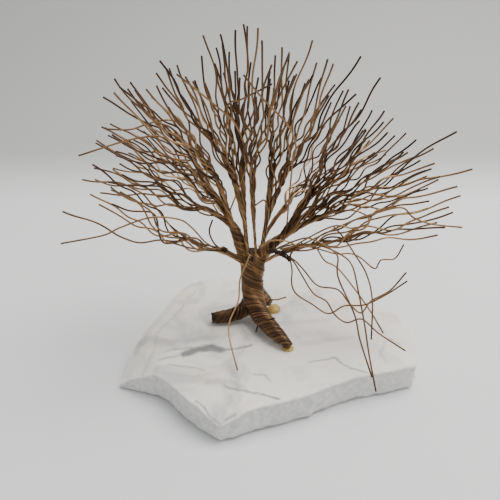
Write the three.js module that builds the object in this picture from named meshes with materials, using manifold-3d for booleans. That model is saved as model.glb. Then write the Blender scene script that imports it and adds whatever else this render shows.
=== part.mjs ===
// A tree of craft wire standing on a rough slab of marble.
// Millimetres. +Z is up, +X is the viewer's right, +Y is away from the viewer.
// The origin is on the slab's underside, straight below the trunk.
import * as THREE from 'three';
import { mergeVertices } from 'three/addons/utils/BufferGeometryUtils.js';
import Module from 'manifold-3d';

const wasm = await Module();
wasm.setup();

// Driving dimensions
const gap = 0.3;              // left between neighbouring solids
const slabThickness = 18;
const wireRadius = 0.5;
const solidWireRadius = 0.6;  // of a three-sided wire with about the same section
const packing = 0.62;         // share of a rope's section that is metal
const crotchHeight = 59;      // where the trunk parts into its boughs
const trunkRadius = 6.8;
const ridgeHeight = 0.14;     // of a twisted strand, as a share of the bundle's radius
const rootTipRadius = 3.5;
const rootTipHeight = slabThickness + gap + rootTipRadius + 0.4;

const marble = new THREE.MeshStandardMaterial({ color: 0xcfccc6, roughness: 0.85 });
const bronze = new THREE.MeshStandardMaterial({ color: 0x6a4422, roughness: 0.45, metalness: 0.9 });
const darkBronze = new THREE.MeshStandardMaterial({ color: 0x3d2716, roughness: 0.5, metalness: 0.9 });
const glue = new THREE.MeshStandardMaterial({ color: 0xc79a3c, roughness: 0.25 });

const group = new THREE.Group();
const crotch = new THREE.Vector3(0, 0, crotchHeight);

// Small tools: solids, directions, repeatable chance, and tubes along a route

function toSolid(geometry) {
  geometry.deleteAttribute('normal');
  geometry.deleteAttribute('uv');
  const merged = mergeVertices(geometry);
  return new wasm.Manifold(new wasm.Mesh({
    numProp: 3,
    vertProperties: merged.attributes.position.array,
    triVerts: new Uint32Array(merged.index.array),
  }));
}

function join(solids) {
  return solids.reduce((whole, next) => whole.add(next));
}

function addPart(name, solid, material) {
  const { vertProperties, triVerts } = solid.getMesh();
  const geometry = new THREE.BufferGeometry();
  geometry.setAttribute('position', new THREE.BufferAttribute(vertProperties, 3));
  geometry.setIndex(new THREE.BufferAttribute(triVerts, 1));
  geometry.computeVertexNormals();
  const mesh = new THREE.Mesh(geometry, material);
  mesh.name = name;
  group.add(mesh);
}

function point([x, y, z]) {
  return new THREE.Vector3(x, y, z);
}

// The crown is a flattened fan. A direction in it is its angle in the fan, from the right
// over the top to the left, and its lean away from the viewer, both in degrees.
function aim(fan, lean) {
  const f = THREE.MathUtils.degToRad(fan);
  const l = THREE.MathUtils.degToRad(lean);
  return new THREE.Vector3(Math.cos(f) * Math.cos(l), Math.sin(l), Math.sin(f) * Math.cos(l));
}

// The same row of numbers between 0 and 1 for the same seed.
function makeDice(seed) {
  let state = seed * 7919 + 1;
  const roll = () => {
    state = (state * 16807) % 2147483647;
    return state / 2147483647;
  };
  roll();
  roll();
  roll();
  return { roll, spread: (most) => (2 * roll() - 1) * most };
}

function curveThrough(points) {
  return new THREE.CatmullRomCurve3(points, false, 'catmullrom', 0.5);
}

// A closed tube with one ring at each point. A twisted one has a ridge for each strand, and the
// ridges wind round it.
function tube(points, startRadius, endRadius, sides, { strands = 0, turns = 0 } = {}) {
  const steps = points.length - 1;
  const corners = strands > 0 ? 2 * strands : sides;
  const geometry = new THREE.CylinderGeometry(1, 1, steps, corners, steps);
  const side = new THREE.Vector3(0, 1, 0);
  const rings = points.map((centre, i) => {
    const ahead = points[Math.min(i + 1, steps)].clone().sub(points[Math.max(i - 1, 0)]).normalize();
    side.addScaledVector(ahead, -side.dot(ahead)).normalize();
    return { centre, side: side.clone(), across: ahead.cross(side) };
  });
  const place = geometry.attributes.position;
  for (let v = 0; v < place.count; v += 1) {
    const step = Math.round(place.getY(v) + steps / 2);
    const share = step / steps;
    const onAxis = Math.hypot(place.getX(v), place.getZ(v)) < 0.5;
    const angle = Math.atan2(place.getX(v), place.getZ(v));
    const corner = Math.round((angle / (2 * Math.PI)) * corners);
    const ridge = strands > 0 && corner % 2 === 0 ? ridgeHeight : 0;
    const radius = onAxis ? 0 : THREE.MathUtils.lerp(startRadius, endRadius, share) * (1 + ridge);
    const turned = angle + 2 * Math.PI * turns * share;
    const { centre, side: normal, across } = rings[step];
    const target = centre.clone()
      .addScaledVector(normal, radius * Math.cos(turned))
      .addScaledVector(across, radius * Math.sin(turned));
    place.setXYZ(v, target.x, target.y, target.z);
  }
  return toSolid(geometry);
}

function ropeRadius(wires) {
  return wireRadius * Math.sqrt(wires / packing);
}

// Crown: boughs leave the trunk, ropes leave the boughs, and single wires leave the ropes

const boughs = {
  low_left: { base: [-4.8, -3.2], fan: 164, lean: -12, length: 17 },
  left: { base: [-4.6, 0.0], fan: 115, lean: -6, length: 29 },
  centre_left: { base: [-1.6, -2.6], fan: 101, lean: -2, length: 27 },
  centre: { base: [1.2, 1.6], fan: 84, lean: -6, length: 26 },
  centre_right: { base: [2.8, -2.6], fan: 68, lean: 0, length: 26 },
  right: { base: [5.0, 1.0], fan: 42, lean: -5, length: 28 },
  back_left: { base: [-2.5, 4.6], fan: 125, lean: 42, length: 18 },
  back_right: { base: [3.0, 4.6], fan: 52, lean: 42, length: 18 },
};

// Each rope's direction and length from its bough's end, then its wires: how many, the part of
// the fan and the lean that their tips fill, how far the tips are from the crotch, and how
// far their kinks step aside.
const ropes = {
  low_left: { bough: 'low_left', fan: 166, lean: -10, length: 20,
    wires: 7, fans: [166, 148], leans: [-18, -6], reach: 116, kink: 3.4, seed: 391 },
  left_out: { bough: 'left', fan: 152, lean: -8, length: 24,
    wires: 12, fans: [160, 138], leans: [-3, 15], reach: 116, kink: 2.8, seed: 106 },
  left_up: { bough: 'left', fan: 122, lean: 8, length: 26,
    wires: 14, fans: [142, 121], leans: [0, 22], reach: 126, kink: 2.2, seed: 244 },
  upper_left: { bough: 'centre_left', fan: 115, lean: -14, length: 26,
    wires: 12, fans: [130, 111], leans: [-24, -5], reach: 134, kink: 1.9, seed: 255 },
  fan_left: { bough: 'centre_left', fan: 99, lean: 4, length: 30,
    wires: 14, fans: [114, 97], leans: [-8, 14], reach: 130, kink: 1.5, seed: 173 },
  top_left: { bough: 'centre_left', fan: 86, lean: 5, length: 34,
    wires: 8, fans: [97, 89], leans: [0, 13], reach: 132, kink: 1.3, seed: 289 },
  top: { bough: 'centre', fan: 91, lean: -8, length: 30,
    wires: 9, fans: [91, 81], leans: [-19, -7], reach: 126, kink: 1.5, seed: 95 },
  top_right: { bough: 'centre_right', fan: 84, lean: 3, length: 32,
    wires: 9, fans: [86, 76], leans: [-1, 14], reach: 128, kink: 1.6, seed: 106 },
  high_right: { bough: 'centre_right', fan: 70, lean: 8, length: 30,
    wires: 10, fans: [77, 66], leans: [-6, 14], reach: 130, kink: 1.6, seed: 106 },
  upper_right: { bough: 'centre_right', fan: 50, lean: -8, length: 32,
    wires: 12, fans: [66, 52], leans: [-20, 6], reach: 130, kink: 2.0, seed: 58 },
  right_up: { bough: 'right', fan: 38, lean: 8, length: 24,
    wires: 10, fans: [48, 32], leans: [2, 24], reach: 128, kink: 2.6, seed: 157 },
  right_out: { bough: 'right', fan: 28, lean: -8, length: 30,
    wires: 12, fans: [36, 23], leans: [-16, 4], reach: 138, kink: 3.0, seed: 333 },
  right_low: { bough: 'right', fan: 18, lean: -22, length: 20,
    wires: 7, fans: [27, 15], leans: [-22, -10], reach: 126, kink: 3.4, seed: 340 },
  back_left: { bough: 'back_left', fan: 140, lean: 34, length: 24,
    wires: 6, fans: [162, 128], leans: [28, 46], reach: 114, kink: 3.0, seed: 277 },
  back_right: { bough: 'back_right', fan: 40, lean: 34, length: 26,
    wires: 7, fans: [56, 20], leans: [30, 46], reach: 118, kink: 3.0, seed: 347 },
};

function boughEnd({ base: [x, y], fan, lean, length }) {
  return crotch.clone().add(new THREE.Vector3(0.6 * x, 0.6 * y, 0)).addScaledVector(aim(fan, lean), length);
}

function boughCurve(bough) {
  const [x, y] = bough.base;
  const inTrunk = new THREE.Vector3(x * 0.8, y * 0.8, crotchHeight - 12);
  const atCrotch = new THREE.Vector3(x, y, crotchHeight - 3);
  return curveThrough([inTrunk, atCrotch, boughEnd(bough)]);
}

// A rope starts inside its limb's collar, which goes on from the end of the bough.
const collarLength = 4;

function collarRoute(bough) {
  const start = boughEnd(bough);
  const ahead = boughCurve(bough).getTangent(1);
  return [start.clone().addScaledVector(ahead, gap), start.clone().addScaledVector(ahead, collarLength)];
}

function ropeCurve(rope) {
  const bough = boughs[rope.bough];
  const [, start] = collarRoute(bough);
  const ahead = boughCurve(bough).getTangent(1);
  const root = start.clone().addScaledVector(ahead, -1);
  const end = root.clone().addScaledVector(aim(rope.fan, rope.lean), rope.length);
  const middle = root.clone().addScaledVector(ahead, 0.2 * rope.length).lerp(end, 0.45);
  return curveThrough([root, middle, end]);
}

// The loose wires leave their rope together, this far along it.
const leaving = 0.5;

// Where the kinks of a loose wire sit along it, and how strong each is. The rest is straight.
const kinks = [[0.13, 0.3], [0.28, 1.0], [0.44, 1.0], [0.62, 0.7], [1.0, 0.0]];

function wireTips(rope, dice) {
  return Array.from({ length: rope.wires }, (_, i) => {
    const place = (i + 0.5 + dice.spread(0.6)) / rope.wires;
    const fan = THREE.MathUtils.lerp(rope.fans[0], rope.fans[1], place);
    const lean = THREE.MathUtils.lerp(rope.leans[0], rope.leans[1], (i * 0.618 + 0.3) % 1);
    const reach = rope.reach * (1.05 - 0.2 * dice.roll() ** 2);
    return crotch.clone().addScaledVector(aim(fan, lean), reach);
  });
}

// Each wire lies in the rope on the side that its tip is on. It sets out along the rope, bows
// round towards the tip, and steps from side to side at its kinks.
function looseWires(rope) {
  const dice = makeDice(rope.seed);
  const curve = ropeCurve(rope);
  const ahead = curve.getTangent(leaving);
  const centre = curve.getPoint(leaving);
  const tips = wireTips(rope, dice);
  const offsets = tips.map((tip) => {
    const way = tip.clone().sub(centre).normalize();
    return way.addScaledVector(ahead, -way.dot(ahead));
  });
  const middle = offsets.reduce((sum, offset) => sum.add(offset), new THREE.Vector3());
  middle.divideScalar(rope.wires);
  offsets.forEach((offset) => offset.sub(middle));
  const widest = Math.max(...offsets.map((offset) => offset.length()));
  const bends = kinks.map(([share, strength], k) => {
    const hand = k % 2 === 0 ? 1 : -1;
    return { share, strength, side: hand * (0.5 + 0.7 * dice.roll()), depth: dice.spread(0.8) };
  });
  return tips.map((tip, i) => {
    const start = centre.clone().addScaledVector(offsets[i], (1.15 * ropeRadius(rope.wires)) / widest);
    const chord = tip.clone().sub(start);
    const setOut = ahead.clone().multiplyScalar(chord.length()).sub(chord);
    const aside = chord.clone().cross(new THREE.Vector3(0, -1, 0)).normalize();
    const wildness = rope.kink * (0.5 + 1.2 * dice.roll()) * (dice.roll() < 0.35 ? -1 : 1);
    return [start, ...bends.map(({ share, strength, side, depth }) => start.clone()
      .addScaledVector(chord, share)
      .addScaledVector(setOut, 0.95 * share * (1 - share) ** 2)
      .addScaledVector(aside, wildness * strength * side)
      .add(new THREE.Vector3(0, wildness * strength * depth, 0)))];
  });
}

// Wires bent by hand that stay with a limb: long low ones, ones that cross others, and loops.
// Each starts inside a rope, so many tenths along it, and goes through the points given.
const wanderers = [
  { rope: 'low_left', tenths: 1, through: [[-27, -12, 76], [-34, -17, 88], [-41, -20, 95], [-56, -24, 98],
    [-72, -28, 94], [-82, -30, 90], [-105, -32, 86]] },
  { rope: 'left_up', tenths: 4, through: [[-33, 4, 122], [-37, 4, 138], [-44, 2, 145], [-56, 0, 144],
    [-67, -2, 141], [-80, -4, 142]] },
  { rope: 'left_out', tenths: 3, through: [[-33, -3, 116], [-41, -6, 133], [-50, -8, 139], [-60, -10, 139],
    [-71, -12, 137], [-93, -16, 131]] },
  { rope: 'upper_left', tenths: 2, through: [[-3, -8, 122], [-4, -14, 136], [-8, -19, 148], [-14, -22, 156],
    [-36, -30, 177]] },
  { rope: 'fan_left', tenths: 3, through: [[-11, -2, 128], [-13, -6, 152], [-11, -9, 158], [-6, -12, 160],
    [10, -20, 170]] },
  { rope: 'top', tenths: 2, through: [[7, -7, 101], [8.5, -7, 96], [8, -6.5, 90]] },
  { rope: 'upper_right', tenths: 2, through: [[22, -12, 121], [23, -20, 138], [18, -26, 151], [5, -32, 166],
    [-4, -36, 178]] },
  { rope: 'right_low', tenths: 1, through: [[44, -20, 90], [56, -25, 92], [64, -27, 96], [62, -27, 101],
    [54, -25, 103], [46, -22, 99]] },
  { rope: 'right_low', tenths: 3, through: [[54, -22, 94], [66, -24, 100], [81, -26, 105], [88, -28, 100],
    [98, -30, 97], [114, -32, 96]] },
];

function wandererCurve({ rope, tenths, through }) {
  return curveThrough([ropeCurve(ropes[rope]).getPoint(tenths / 10), ...through.map(point)]);
}

function wiresIn(boughName) {
  const own = Object.values(ropes).filter((rope) => rope.bough === boughName);
  return own.reduce((sum, rope) => sum + rope.wires, 0);
}

// Every third loose wire is left out of the solids, to keep them light.
function addLimb(name) {
  const bough = boughs[name];
  const girth = 0.97 * ropeRadius(wiresIn(name));
  const solids = [tube(collarRoute(bough), girth, girth, 8)];
  for (const rope of Object.values(ropes).filter((each) => each.bough === name)) {
    const start = Math.min(ropeRadius(rope.wires), girth - 0.1);
    const bundle = [0, 0.56 * leaving, 1.12 * leaving].map((share) => ropeCurve(rope).getPoint(share));
    solids.push(tube(bundle, start, 1.1 * ropeRadius(rope.wires), 6));
    const kept = looseWires(rope).filter((_, i) => i % 3 !== 1);
    solids.push(...kept.map((route) => tube(route, solidWireRadius, solidWireRadius, 3)));
  }
  for (const wanderer of wanderers.filter((each) => ropes[each.rope].bough === name)) {
    const route = wandererCurve(wanderer).getPoints(2 * wanderer.through.length);
    solids.push(tube(route, solidWireRadius, solidWireRadius, 3));
  }
  addPart(`${name}_limb`, join(solids), bronze);
}

// Trunk: one twisted bundle of all the wires, parting into boughs above and roots below

const roots = [
  { start: 6.8, route: [[0, 0, 38], [0.5, -1.5, 32], [3, -7, 27.5], [9, -18, 24], [15, -28, rootTipHeight + 0.3],
    [20.5, -37, rootTipHeight]] },
  { start: 6.4, route: [[0, 0, 34], [-4, -1.5, 28.5], [-10, -4, 25], [-17, -8, rootTipHeight + 0.8],
    [-24.5, -12, rootTipHeight]] },
  { start: 6.0, route: [[0, 1, 34], [5, 3.5, 29], [10, 5.5, 25], [15, 6, rootTipHeight]] },
];

function addTrunk() {
  const foot = new THREE.Vector3(0.4, -1, 29);
  const head = new THREE.Vector3(0, 0, crotchHeight + 3);
  const column = curveThrough([foot, new THREE.Vector3(0, 0, 42), head]).getPoints(10);
  const solids = [tube(column, trunkRadius, trunkRadius, 0, { strands: 6, turns: -0.9 })];
  for (const { start, route } of roots) {
    solids.push(tube(curveThrough(route.map(point)).getPoints(5), start, rootTipRadius, 8));
  }
  for (const [name, bough] of Object.entries(boughs)) {
    const girth = ropeRadius(wiresIn(name));
    solids.push(tube(boughCurve(bough).getPoints(3), girth, girth, 7));
  }
  addPart('trunk', join(solids), darkBronze);
}

// Ties: a wire wound round the low left limb, and the twisted stub at the right that holds
// the first three drooping wires

const tieRadius = 2.9;
const tieThickness = 0.7;
const tiePlace = 0.9;         // along the low left bough
const stubRoute = [[9.5, -6.5, 62], [15, -8.5, 65], [19, -10, 65.5], [22.5, -11.5, 65]];
const stubRadius = 1.7;

function addTies() {
  const ring = new THREE.TorusGeometry(tieRadius, tieThickness, 5, 12);
  const curve = boughCurve(boughs.low_left);
  const alongZ = new THREE.Vector3(0, 0, 1);
  ring.applyQuaternion(new THREE.Quaternion().setFromUnitVectors(alongZ, curve.getTangent(tiePlace)));
  ring.translate(...curve.getPoint(tiePlace).toArray());
  addPart('left_tie', toSolid(ring), darkBronze);
  const stub = curveThrough(stubRoute.map(point)).getPoints(6);
  addPart('tied_stub', tube(stub, stubRadius, stubRadius, 0, { strands: 3, turns: 1.5 }), darkBronze);
}

// Glue: a drop where the front root and the back root end on the slab

const glueDrops = {
  front_glue: { root: 0, centre: [22, -39.5], spread: [5.5, 4.5, 3] },
  back_glue: { root: 2, centre: [17.5, 4.5], spread: [5.5, 5.5, 4] },
};

function addGlue() {
  for (const [name, drop] of Object.entries(glueDrops)) {
    const floor = slabThickness + gap;
    const ball = new THREE.SphereGeometry(1, 12, 8).scale(...drop.spread);
    const place = ball.attributes.position;
    for (let v = 0; v < place.count; v += 1) {
      place.setZ(v, Math.max(place.getZ(v), 0));
    }
    ball.translate(drop.centre[0], drop.centre[1], floor);
    const { start, route } = roots[drop.root];
    const around = tube(curveThrough(route.map(point)).getPoints(5), start + gap, rootTipRadius + gap, 8);
    addPart(name, toSolid(ball).subtract(around), glue);
  }
}

// Single wires that hang free of the crown, each its own piece

const hangingWires = {
  front_wire: [[-1, -8.6, 70], [-3, -10, 62], [-7, -16, 53], [-8, -24, 43], [-13, -34, 35], [-13, -42, 29],
    [-8, -62, 22]],
  drooping_wire_1: [[24, -12, 64], [24, -18, 51], [27, -20, 45], [36, -23, 40], [46, -26, 35], [55, -28, 42],
    [66, -30, 44], [77, -32, 52], [88, -34, 63]],
  drooping_wire_2: [[25, -10, 63], [31, -11, 52], [38, -13, 41], [46, -16, 37], [51, -20, 30], [58, -24, 27],
    [66, -29, 33], [75, -36, 28], [88, -50, 26]],
  drooping_wire_3: [[26, -14, 65], [31, -17, 60], [39, -23, 53], [50, -29, 54], [57, -34, 47], [63, -38, 44],
    [67, -41, 54], [76, -44, 63], [83, -46, 76]],
  drooping_wire_4: [[4, -8, 71], [11, -10, 76], [20, -12, 77], [28, -13, 74], [37, -14, 74], [43, -16, 66],
    [52, -19, 61], [69, -26, 40], [79, -32, 25]],
  drooping_wire_5: [[26, -16, 79], [33, -20, 83], [42, -24, 80], [48, -30, 77], [48, -38, 68], [57, -48, 50],
    [60, -56, 38], [66, -68, 22]],
  drooping_wire_6: [[37, -22, 79], [50, -28, 77], [56, -34, 73], [59, -42, 62], [62, -54, 47], [64, -64, 34],
    [67, -76, 19]],
  drooping_wire_7: [[47, -16, 88], [52, -17, 83], [60, -20, 72], [67, -24, 61], [71, -28, 46], [71, -37, 24]],
  drooping_wire_8: [[38, -8, 69], [51, -6, 65], [60, -4, 64], [67, -2, 60], [77, 0, 51], [81, 2, 56],
    [90, 4, 56], [95, 6, 65]],
};

function addHangingWires() {
  for (const [name, route] of Object.entries(hangingWires)) {
    const points = curveThrough(route.map(point)).getPoints(2 * (route.length - 1));
    addPart(name, tube(points, solidWireRadius, solidWireRadius, 3), bronze);
  }
}

// Slab: a broken piece of marble with hewn edges and a sawn top and underside

const slabOutline = [[-77, -62], [-52, 37], [-15, 44], [34, 33], [88, 11], [94, -14], [98, -45], [79, -54],
  [55, -63], [37, -74], [17, -85], [0, -84], [-17, -96], [-30, -87], [-39, -72], [-57, -60]];
const facetLength = 8;
const hewnDepth = 0.9;
const arris = 1.2;

function addSlab() {
  const corners = slabOutline.map(([x, y]) => new THREE.Vector2(x, y));
  const edge = [];
  corners.forEach((corner, i) => {
    const next = corners[(i + 1) % corners.length];
    const pieces = Math.ceil(corner.distanceTo(next) / facetLength);
    for (let k = 0; k < pieces; k += 1) {
      edge.push(corner.clone().lerp(next, k / pieces));
    }
  });
  const levels = 3;
  const geometry = new THREE.ExtrudeGeometry(new THREE.Shape(edge), {
    depth: slabThickness, steps: levels, bevelEnabled: false,
  });
  const place = geometry.attributes.position;
  for (let v = 0; v < place.count; v += 1) {
    const across = new THREE.Vector2(place.getX(v), place.getY(v));
    const height = place.getZ(v);
    const level = Math.round((height / slabThickness) * levels);
    const turn = across.angle();
    const hewn = hewnDepth * (Math.sin(23 * turn + 2.1 * level) + 0.6 * Math.sin(41 * turn - 1.7 * level));
    const inset = level === 0 || level === levels ? arris : 0;
    across.setLength(across.length() - hewn - inset);
    place.setXY(v, across.x, across.y);
  }
  addPart('marble_slab', toSolid(geometry), marble);
}

addSlab();
addTrunk();
for (const name of Object.keys(boughs)) {
  addLimb(name);
}
addTies();
addHangingWires();
addGlue();

export default group;
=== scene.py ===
"""A tree of craft wire on a rough slab of marble.

The frame's axes hold here: +X is the viewer's right, +Y is away from the viewer, +Z is up, and the
origin lies on the slab's underside, straight below the trunk. Sizes are written in millimetres, and
each mesh is turned into metres as it is made.
"""

import math

import bpy
import numpy as np
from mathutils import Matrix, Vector, noise


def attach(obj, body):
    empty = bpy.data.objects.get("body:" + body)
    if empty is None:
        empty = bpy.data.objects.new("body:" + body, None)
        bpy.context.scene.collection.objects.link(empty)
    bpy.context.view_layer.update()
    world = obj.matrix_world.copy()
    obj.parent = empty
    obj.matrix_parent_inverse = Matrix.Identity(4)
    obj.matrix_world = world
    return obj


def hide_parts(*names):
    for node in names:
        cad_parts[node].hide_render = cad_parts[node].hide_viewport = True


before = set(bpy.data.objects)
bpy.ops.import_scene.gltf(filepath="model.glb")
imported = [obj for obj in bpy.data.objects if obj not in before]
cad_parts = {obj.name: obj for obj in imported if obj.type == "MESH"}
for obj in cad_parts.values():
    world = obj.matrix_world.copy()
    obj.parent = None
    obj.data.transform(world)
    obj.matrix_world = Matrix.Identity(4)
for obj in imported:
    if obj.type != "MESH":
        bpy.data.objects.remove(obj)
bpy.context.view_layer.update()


# --- The camera -------------------------------------------------------------------------
# It looks down on the tree from the front, a little above the crown.

camera_data = bpy.data.cameras.new("camera")
camera_data.angle = math.radians(46)
camera_data.clip_start = 0.01
camera = bpy.data.objects.new("camera", camera_data)
camera.location = (-0.001, -0.317, 0.240)
camera.rotation_euler = (math.radians(90 - 29), 0, 0)
bpy.context.scene.collection.objects.link(camera)
bpy.context.scene.camera = camera


# --- The table and its light ------------------------------------------------------------
# A pale paper sweep runs back from under the slab and curves up behind it. The light is a
# wide soft one overhead, from the right and behind, with the room's own pale light round it.

def new_piece(name, vertices, faces, material):
    """A smooth mesh object at the origin, from vertices in millimetres."""
    mesh = bpy.data.meshes.new(name)
    mesh.from_pydata([tuple(0.001 * c for c in v) for v in vertices], [], faces)
    mesh.update()
    mesh.materials.append(material)
    for face in mesh.polygons:
        face.use_smooth = True
    piece = bpy.data.objects.new(name, mesh)
    bpy.context.scene.collection.objects.link(piece)
    return piece


def feed(socket, source):
    """Gives a node's input a value, or a link where the source is another node's output."""
    if isinstance(source, bpy.types.NodeSocket):
        socket.id_data.links.new(source, socket)
    else:
        socket.default_value = source


def node_adder(tree):
    """A function that adds a node to a tree, with its inputs fed and its settings made."""
    def add(kind, inputs, **settings):
        node = tree.nodes.new(kind)
        for key, value in settings.items():
            setattr(node, key, value)
        for key, source in inputs.items():
            feed(node.inputs[key], source)
        return node

    return add


def new_material(name):
    """A node material, the inputs of its shader, and a function that adds nodes to it."""
    material = bpy.data.materials.new(name)
    material.use_nodes = True
    shader = material.node_tree.nodes["Principled BSDF"]
    return material, shader.inputs, node_adder(material.node_tree)


# The paper darkens from front to back as it leaves the light.
SHADE_FROM = 0.20       # metres back and up from the origin
SHADE_TO = 0.37

paper, paper_inputs, add = new_material("paper")
position = add("ShaderNodeTexCoord", {})
axes = add("ShaderNodeSeparateXYZ", {"Vector": position.outputs["Object"]})
back_and_up = add("ShaderNodeMath", {0: axes.outputs["Y"], 1: axes.outputs["Z"]}, operation="ADD")
shadow = add("ShaderNodeMapRange", {"Value": back_and_up.outputs["Value"], "From Min": SHADE_FROM,
                                    "From Max": SHADE_TO}, interpolation_type="SMOOTHSTEP")
papers = add("ShaderNodeMix", {"Factor": shadow.outputs["Result"], "A": (0.725, 0.73, 0.73, 1),
                               "B": (0.435, 0.435, 0.427, 1)}, data_type="RGBA")
feed(paper_inputs["Base Color"], papers.outputs["Result"])
feed(paper_inputs["Roughness"], 0.9)

SWEEP_NEAR = -900
SWEEP_BEND = 330        # where the paper starts to rise
SWEEP_RADIUS = 260
SWEEP_STEPS = 12
SWEEP_TOP = 1100
SWEEP_HALF = 1500

profile = [(SWEEP_NEAR, 0), (SWEEP_BEND, 0)]
for step in range(1, SWEEP_STEPS + 1):
    turn = math.radians(90 * step / SWEEP_STEPS)
    profile.append((SWEEP_BEND + SWEEP_RADIUS * math.sin(turn), SWEEP_RADIUS * (1 - math.cos(turn))))
profile.append((SWEEP_BEND + SWEEP_RADIUS, SWEEP_TOP))
sweep_vertices = [(side * SWEEP_HALF, y, z) for y, z in profile for side in (-1, 1)]
sweep_faces = [(2 * i, 2 * i + 1, 2 * i + 3, 2 * i + 2) for i in range(len(profile) - 1)]
sweep = new_piece("paper_sweep", sweep_vertices, sweep_faces, paper)

BRIGHT_SIDE = (0.25, 0.55, 0.8)     # the side of the room that is brightest: right, behind and above

world = bpy.data.worlds.new("room")
world.use_nodes = True
add = node_adder(world.node_tree)
direction = add("ShaderNodeTexCoord", {})
towards = add("ShaderNodeVectorMath", {0: direction.outputs["Generated"], 1: BRIGHT_SIDE},
              operation="DOT_PRODUCT")
glow = add("ShaderNodeMapRange", {"Value": towards.outputs["Value"], "From Min": -0.9, "From Max": 0.9,
                                  "To Min": 0.10, "To Max": 1.0})
room = world.node_tree.nodes["Background"]
feed(room.inputs["Strength"], glow.outputs["Result"])
feed(room.inputs["Color"], (0.97, 0.98, 1.0, 1))
bpy.context.scene.world = world

overhead_data = bpy.data.lights.new("overhead", "AREA")
overhead_data.size = 0.8
overhead_data.energy = 16.0
overhead_data.color = (1.0, 0.985, 0.96)
overhead = bpy.data.objects.new("overhead", overhead_data)
overhead.location = (0.35, 0.15, 1.0)
overhead.rotation_euler = (Vector((0, 0, 0.08)) - overhead.location).to_track_quat("-Z", "Y").to_euler()
bpy.context.scene.collection.objects.link(overhead)


# --- The marble slab --------------------------------------------------------------------
# A broken off-cut of white marble. Its top is sawn and worn, with grey veins and brownish
# stains. Its sides are broken stone: cooler, crystalline and rough, under a chipped edge.

SLAB_TOP = 18
SLAB_OUTLINE = [(-79, -53), (-69, -20), (-57, 10), (-51, 38), (-22, 45), (18, 42), (48, 33), (79, 15),
                (96, -3), (99.5, -23), (99.5, -44), (95, -53), (77, -59), (57, -64), (45, -70), (33, -77),
                (22, -81), (15, -83.5), (4, -87), (-6, -92), (-17, -96), (-25, -90), (-33, -83),
                (-40, -75), (-48, -67), (-56, -61), (-68, -57)]

# Where the stone has broken away from above: the place, how far that reaches, and how deep it is.
WORN_CORNERS = [((-83, -52), 34, 12.5), ((-17, -99), 20, 6.0), ((100, -46), 14, 3.0), ((-52, 40), 22, 4.0)]
LEFT_BEVEL = ((-79, -53), (-51, 38))     # the edge along which a wide chip is missing
BEVEL_WIDTH = 7.5
BEVEL_DEPTH = 3.4
UNDERCUT = 1.6          # how far the side draws in at its foot
CRYSTAL_SIZE = 5.5      # of the facets on the broken side


def smooth_step(low, high, value):
    """0 up to the low value, 1 from the high value on, and a smooth rise between them."""
    share = min(max((value - low) / (high - low), 0), 1)
    return share * share * (3 - 2 * share)


def rough(x, y, z, grain, octaves=4):
    """Fractal noise between about -1 and 1, with features about `grain` millimetres wide."""
    return noise.fractal(Vector((x, y, z)) / grain, 0.8, 2.1, octaves)


def outline_reach(angle):
    """How far the slab's outline is from the origin in a direction."""
    ahead = (math.cos(angle), math.sin(angle))
    for (ax, ay), (bx, by) in zip(SLAB_OUTLINE, SLAB_OUTLINE[1:] + SLAB_OUTLINE[:1]):
        ex, ey = bx - ax, by - ay
        cross = ahead[0] * ey - ahead[1] * ex
        if abs(cross) < 1e-9:
            continue
        reach = (ax * ey - ay * ex) / cross
        along = (ax * ahead[1] - ay * ahead[0]) / cross
        if reach > 0 and -1e-9 <= along <= 1 + 1e-9:
            return reach
    raise ValueError(f"the outline is open at {angle}")


def from_segment(x, y, start, end):
    """The distance of a point from a straight piece."""
    ex, ey = end[0] - start[0], end[1] - start[1]
    share = ((x - start[0]) * ex + (y - start[1]) * ey) / (ex * ex + ey * ey)
    share = min(max(share, 0), 1)
    return math.hypot(x - start[0] - share * ex, y - start[1] - share * ey)


def slab_top(x, y):
    """The height of the top face: nearly flat, and broken away at the corners and one side."""
    height = SLAB_TOP - 0.35 * abs(rough(x, y, 0, 34)) - 0.12 * abs(rough(x, y, 7, 6))
    for corner, reach, depth in WORN_CORNERS:
        away = math.dist((x, y), corner) * (1 + 0.12 * rough(x, y, 3, 12))
        height -= depth * (1 - smooth_step(2, reach, away))
    chip = BEVEL_WIDTH + 2.5 * rough(x, y, 5, 17)
    height -= max(BEVEL_DEPTH * (1 - from_segment(x, y, *LEFT_BEVEL) / chip), 0)
    return height


AROUND = 760
TOP_RINGS = 78
EDGE_RINGS = 6
SIDE_RINGS = 26


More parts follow.
